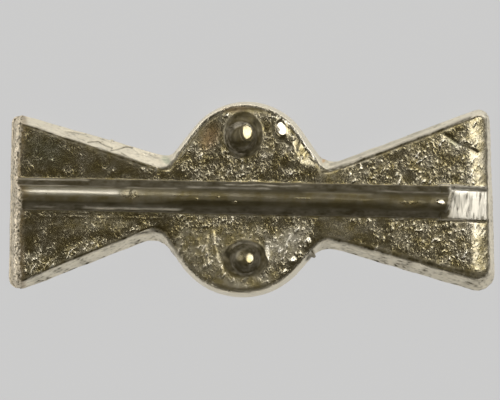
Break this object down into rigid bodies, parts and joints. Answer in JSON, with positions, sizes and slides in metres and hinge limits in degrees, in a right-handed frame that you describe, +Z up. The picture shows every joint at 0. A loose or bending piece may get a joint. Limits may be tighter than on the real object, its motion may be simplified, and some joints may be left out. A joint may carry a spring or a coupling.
{
  "type": "propeller-shaped strap mount",
  "caption": "Small cast metal strap mount: a plate flared towards its ends from a lobed middle, with a half-round rib and domed studs on the side that faces the strap.",
  "frame": {"origin": "on the floor, under the middle of the mount's box, at the plain side", "axes": "+X along the length towards the filed end, +Y across towards the upper lobe, +Z up from the plain side to the studs"},
  "size_m": [0.0604, 0.0242, 0.0043],
  "materials": {
    "bronze": "silvery tin-rich bronze, rough as cast, partly smooth and filed, with olive and copper-coloured toning"
  },
  "bodies": {
    "root": {"cast_mount": "bronze"}
  },
  "joints": []
}
